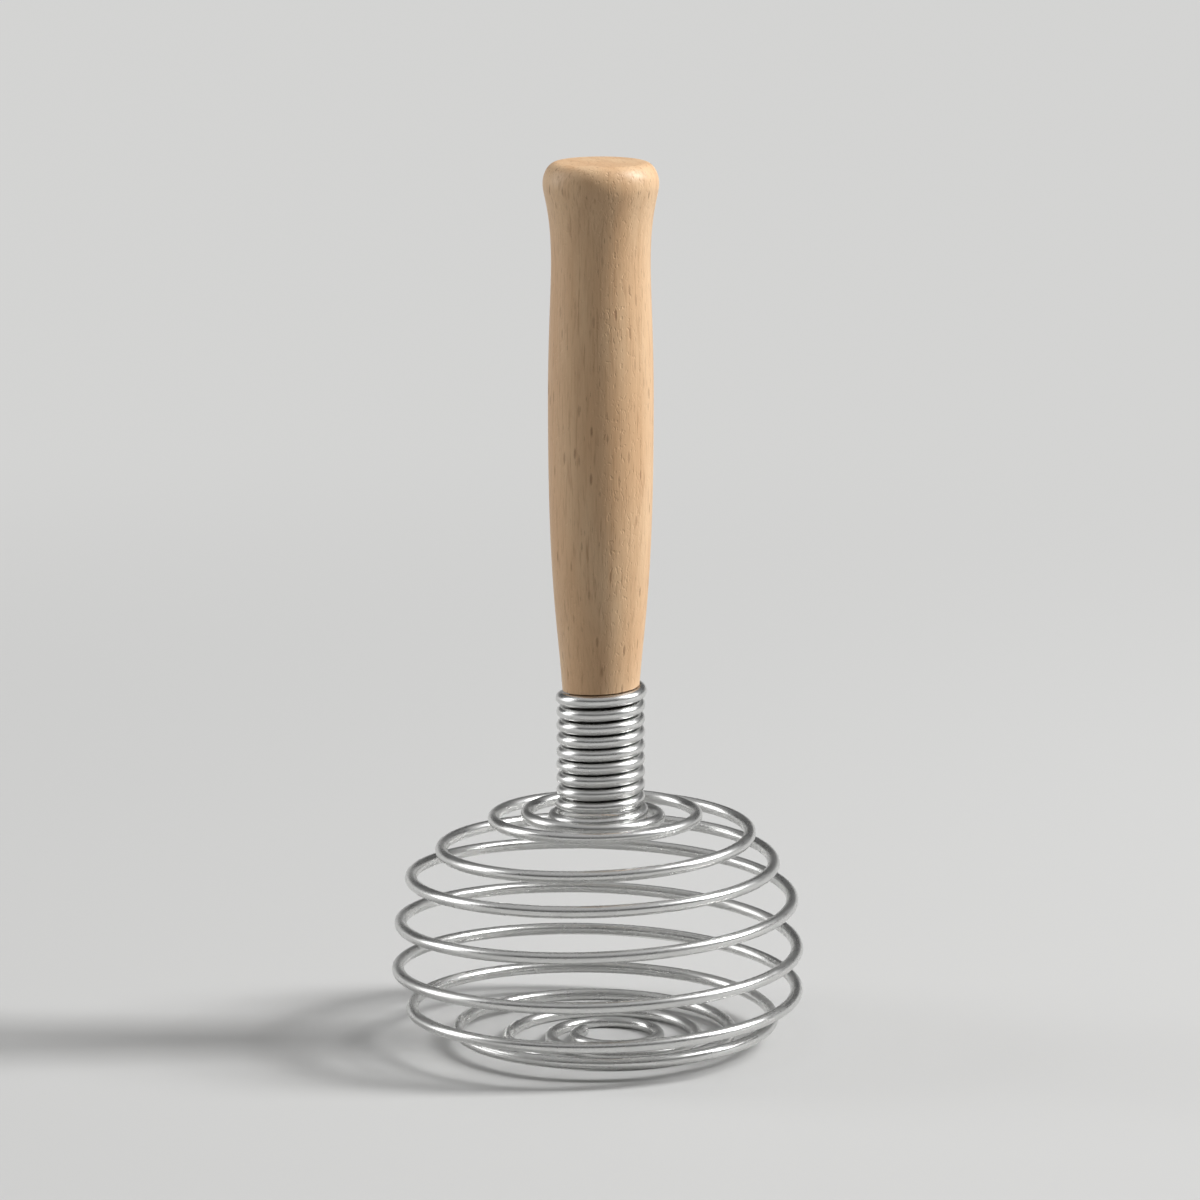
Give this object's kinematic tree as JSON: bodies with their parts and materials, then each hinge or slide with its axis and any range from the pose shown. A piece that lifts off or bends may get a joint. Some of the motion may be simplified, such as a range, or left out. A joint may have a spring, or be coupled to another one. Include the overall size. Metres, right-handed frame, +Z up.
{
  "type": "spiral whisk",
  "caption": "Spiral whisk: a turned wooden handle with one spring wire wound into a collar, a round cage and a flat spiral foot.",
  "frame": {"origin": "on the handle's axis, at the surface that the flat spiral foot stands on", "axes": "+Z up along the handle, +X to the right and -Y to the front as the whisk is pictured"},
  "size_m": [0.1014, 0.1014, 0.2176],
  "materials": {
    "beech": "turned, sanded and lightly oiled beech, satin",
    "steel_wire": "bright drawn stainless spring wire"
  },
  "bodies": {
    "base": {"base_spiral": "steel_wire", "globe_coil": "steel_wire"},
    "handle": {"wooden_handle": "beech", "collar_winding": "steel_wire"}
  },
  "joints": [
    {"name": "handle_press", "type": "slide", "parent": "base", "child": "handle", "axis": [0, 0, 1], "range_m": [-0.02, 0.009], "stiffness_N_per_m": 166, "springref_m": 0.0045, "deforming": ["globe_coil"]}
  ]
}
